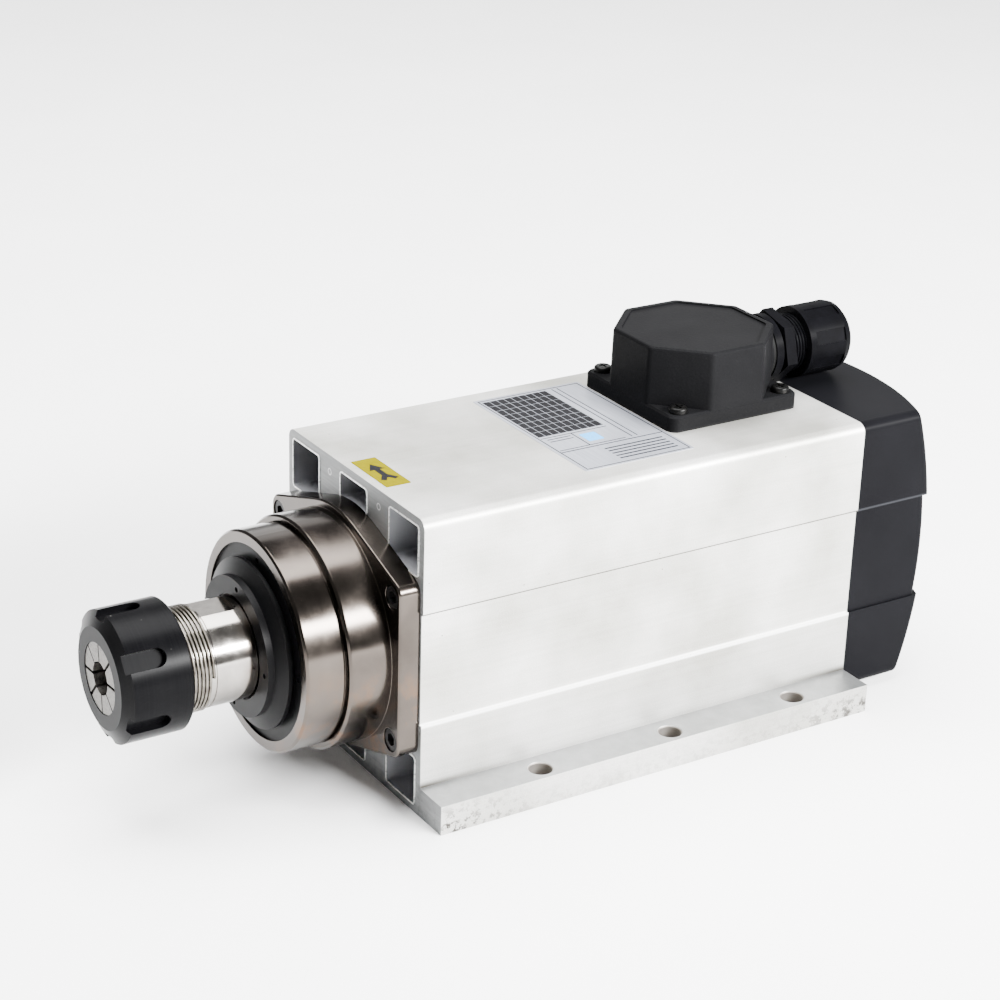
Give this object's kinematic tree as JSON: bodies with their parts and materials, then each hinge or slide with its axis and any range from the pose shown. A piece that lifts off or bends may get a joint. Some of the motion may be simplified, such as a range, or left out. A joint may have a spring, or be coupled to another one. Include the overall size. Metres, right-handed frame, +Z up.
{
  "type": "motor spindle",
  "caption": "Air-cooled square motor spindle with feet: the shaft and rear fan turn in bearings, and a slotted nut draws a slit collet into the shaft's taper to grip a cutter.",
  "frame": {"origin": "middle of the six foot holes, on the underside of the feet", "axes": "+Z up from the feet, -Y out of the collet along the spindle axis, which runs 60 mm above the underside, +Y towards the fan cover, +X across the feet"},
  "size_m": [0.135, 0.3523, 0.15],
  "materials": {
    "anodised_aluminium": "satin clear anodised, extruded",
    "nickel_steel": "turned, dark nickel plated",
    "shaft_steel": "ground and polished",
    "collet_steel": "ground",
    "black_oxide_steel": "black oxide",
    "screw_steel": "oiled",
    "bearing_steel": "ground",
    "lamination_steel": "stacked sheet",
    "copper_winding": "enamelled copper",
    "cast_aluminium": "die cast",
    "cage_plastic": "moulded",
    "charcoal_plastic": "fine moulded grain",
    "black_plastic": "moulded",
    "black_rubber": "moulded",
    "zinc_steel": "zinc plated",
    "brass": "machined"
  },
  "bodies": {
    "housing": {"housing_extrusion": "anodised_aluminium", "stator_core": "lamination_steel", "stator_windings": "copper_winding", "front_bearing_housing": "nickel_steel", "flange_screws": "screw_steel", "bearing_retaining_ring": "black_oxide_steel", "bearing_outer_rings": "bearing_steel", "rear_bearing_shield": "cast_aluminium", "fan_cover": "charcoal_plastic", "fan_cover_screws": "zinc_steel", "terminal_box_gasket": "black_rubber", "terminal_box": "black_plastic", "terminal_box_screws": "black_oxide_steel", "terminal_block": "black_plastic", "terminal_studs": "brass", "gland_washer": "black_rubber", "gland_body": "black_plastic", "gland_locknut": "black_plastic"},
    "rotor": {"spindle_shaft": "shaft_steel", "labyrinth_disc": "black_oxide_steel", "bearing_inner_rings": "bearing_steel", "shaft_locknut": "black_oxide_steel", "rotor_core": "lamination_steel", "cooling_fan": "black_plastic"},
    "front_cages": {"front_bearing_cages": "cage_plastic"},
    "rear_cage": {"rear_bearing_cage": "cage_plastic"},
    "collet": {"collet": "collet_steel"},
    "collet_nut": {"collet_nut": "black_oxide_steel"},
    "gland_insert": {"gland_seal": "black_rubber"},
    "gland_nut": {"gland_nut": "black_plastic"}
  },
  "joints": [
    {"name": "rotor_spin", "type": "hinge", "parent": "housing", "child": "rotor", "pos_m": [0, 0, 0.06], "axis": [0, -1, 0], "continuous": true},
    {"name": "front_cage_spin", "type": "hinge", "parent": "housing", "child": "front_cages", "pos_m": [0, 0, 0.06], "axis": [0, -1, 0], "continuous": true},
    {"name": "rear_cage_spin", "type": "hinge", "parent": "housing", "child": "rear_cage", "pos_m": [0, 0, 0.06], "axis": [0, -1, 0], "continuous": true},
    {"name": "collet_slide", "type": "slide", "parent": "rotor", "child": "collet", "axis": [0, -1, 0], "range_m": [0, 0.01725]},
    {"name": "collet_nut_turn", "type": "hinge", "parent": "collet", "child": "collet_nut", "pos_m": [0, -0.1975, 0.06], "axis": [0, -1, 0], "range_deg": [0, 4140]},
    {"name": "gland_insert_slide", "type": "slide", "parent": "housing", "child": "gland_insert", "axis": [0, 1, 0], "range_m": [0, 0.0075]},
    {"name": "gland_nut_turn", "type": "hinge", "parent": "gland_insert", "child": "gland_nut", "pos_m": [-0.0068, 0.11, 0.1351], "axis": [0, 1, 0], "range_deg": [0, 1800]}
  ],
  "couplings": [
    {"joint": "front_cage_spin", "follows": "rotor_spin", "ratio": 0.43},
    {"joint": "rear_cage_spin", "follows": "rotor_spin", "ratio": 0.42},
    {"joint": "collet_slide", "follows": "collet_nut_turn", "m_per_rad": 0.00023873},
    {"joint": "gland_insert_slide", "follows": "gland_nut_turn", "m_per_rad": 0.00023873}
  ]
}
